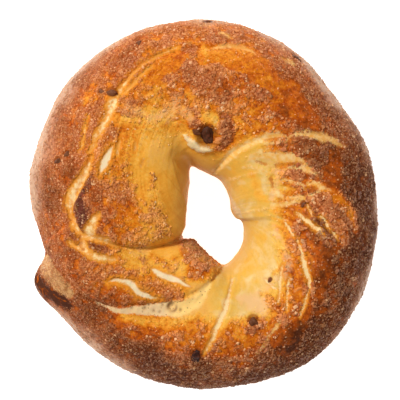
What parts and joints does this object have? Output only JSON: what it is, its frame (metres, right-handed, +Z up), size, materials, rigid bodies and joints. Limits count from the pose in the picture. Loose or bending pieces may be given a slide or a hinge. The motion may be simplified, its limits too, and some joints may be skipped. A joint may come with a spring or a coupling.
{
  "type": "bagel",
  "caption": "Whole cinnamon-sugar bagel: a ring of baked dough with overlapped rope ends, cracked crust, a slanted hole and a flat base.",
  "frame": {"origin": "centre of the bounding box, on the flat base", "axes": "+Z up through the crown, +Y along the longer diameter, away from the seam side at the lower left, +X to the right as seen from above"},
  "size_m": [0.1088, 0.1154, 0.0398],
  "materials": {
    "crust": "baked dough, satin where bare and matt where sugared",
    "sugar": "sandy cinnamon sugar grains",
    "raisin": "dark baked raisin, slightly glossy"
  },
  "bodies": {
    "root": {"bagel": "crust"}
  },
  "joints": []
}
